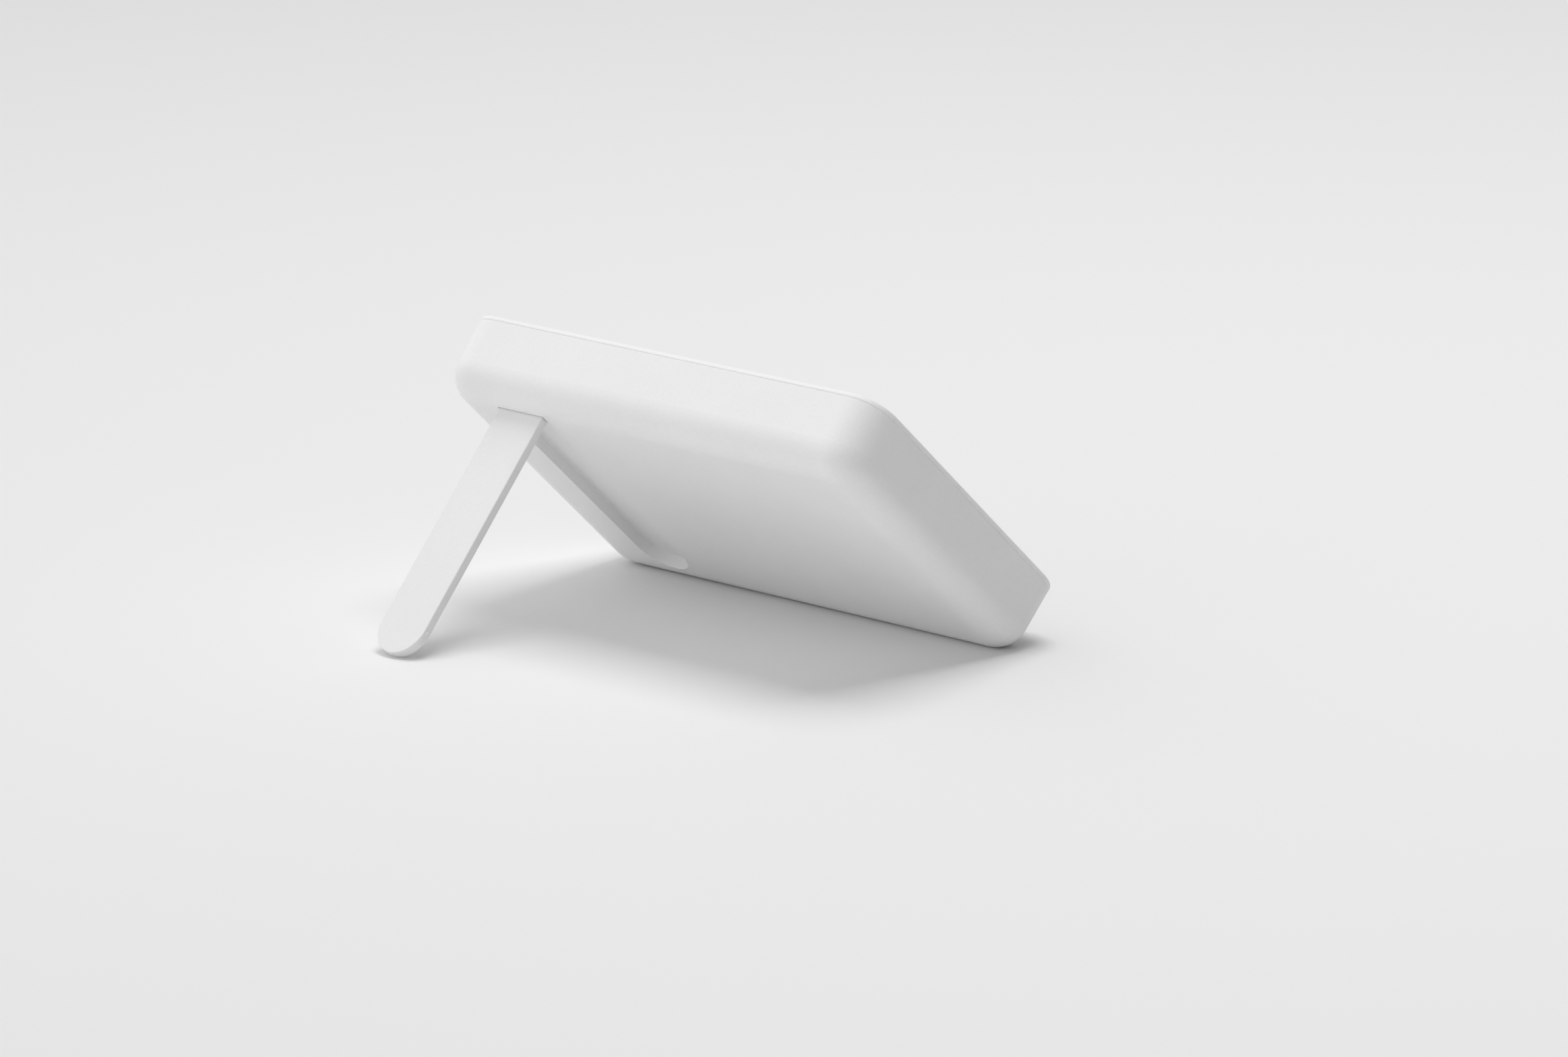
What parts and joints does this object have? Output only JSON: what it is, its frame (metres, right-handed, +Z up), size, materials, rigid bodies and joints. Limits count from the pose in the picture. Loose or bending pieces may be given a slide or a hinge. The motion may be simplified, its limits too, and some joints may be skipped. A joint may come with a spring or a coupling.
{
  "type": "magnetic power bank",
  "caption": "Flat rounded power bank with a magnetic charging face and a fold-out stand leg, shown standing on its lower edge and the open leg.",
  "frame": {"origin": "middle of the standing bank's bounding box, on the ground it stands on", "axes": "+X along the bank's length to the end away from the leg, +Z up, -Y to the side the open leg is on"},
  "size_m": [0.0894, 0.08, 0.0477],
  "materials": {
    "shell_plastic": "fine matt moulded texture",
    "pad_silicone": "matt soft touch",
    "plain_steel": "bright",
    "black_plastic": "moulded",
    "diffuser_plastic": "milky clear",
    "board_laminate": "solder mask",
    "inductor_powder": "pressed powder",
    "capacitor_ceramic": "fired",
    "cell_pouch": "satin laminate",
    "tape_film": "film",
    "nickel_plate": "plated",
    "coil_copper": "enamelled",
    "ferrite_ceramic": "sintered"
  },
  "bodies": {
    "housing": {"main_shell": "shell_plastic", "base_cover": "shell_plastic", "contact_pad": "pad_silicone", "hinge_pin": "plain_steel", "button_switch": "black_plastic", "light_guide": "diffuser_plastic", "status_lights": "diffuser_plastic", "socket_shell": "plain_steel", "socket_tongue": "black_plastic", "circuit_board": "board_laminate", "board_screws": "plain_steel", "control_chips": "black_plastic", "power_inductor": "inductor_powder", "filter_capacitors": "capacitor_ceramic", "battery_cell": "cell_pouch", "cell_tape": "tape_film", "battery_tabs": "nickel_plate", "insulating_sheet": "tape_film", "charging_coil": "coil_copper", "ferrite_disc": "ferrite_ceramic", "magnet_ring": "nickel_plate", "magnet_shunt": "plain_steel", "alignment_magnet": "nickel_plate", "coil_leads": "coil_copper"},
    "stand": {"stand_leg": "shell_plastic"},
    "button": {"power_button": "shell_plastic"}
  },
  "joints": [
    {"name": "leg_fold", "type": "hinge", "parent": "housing", "child": "stand", "pos_m": [-0.02765, -0.00755, 0.03472], "axis": [1, 0, 0], "range_deg": [0, 90]},
    {"name": "button_press", "type": "slide", "parent": "housing", "child": "button", "axis": [1, 0, 0], "range_m": [0, 0.0003], "stiffness_N_per_m": 2000}
  ]
}
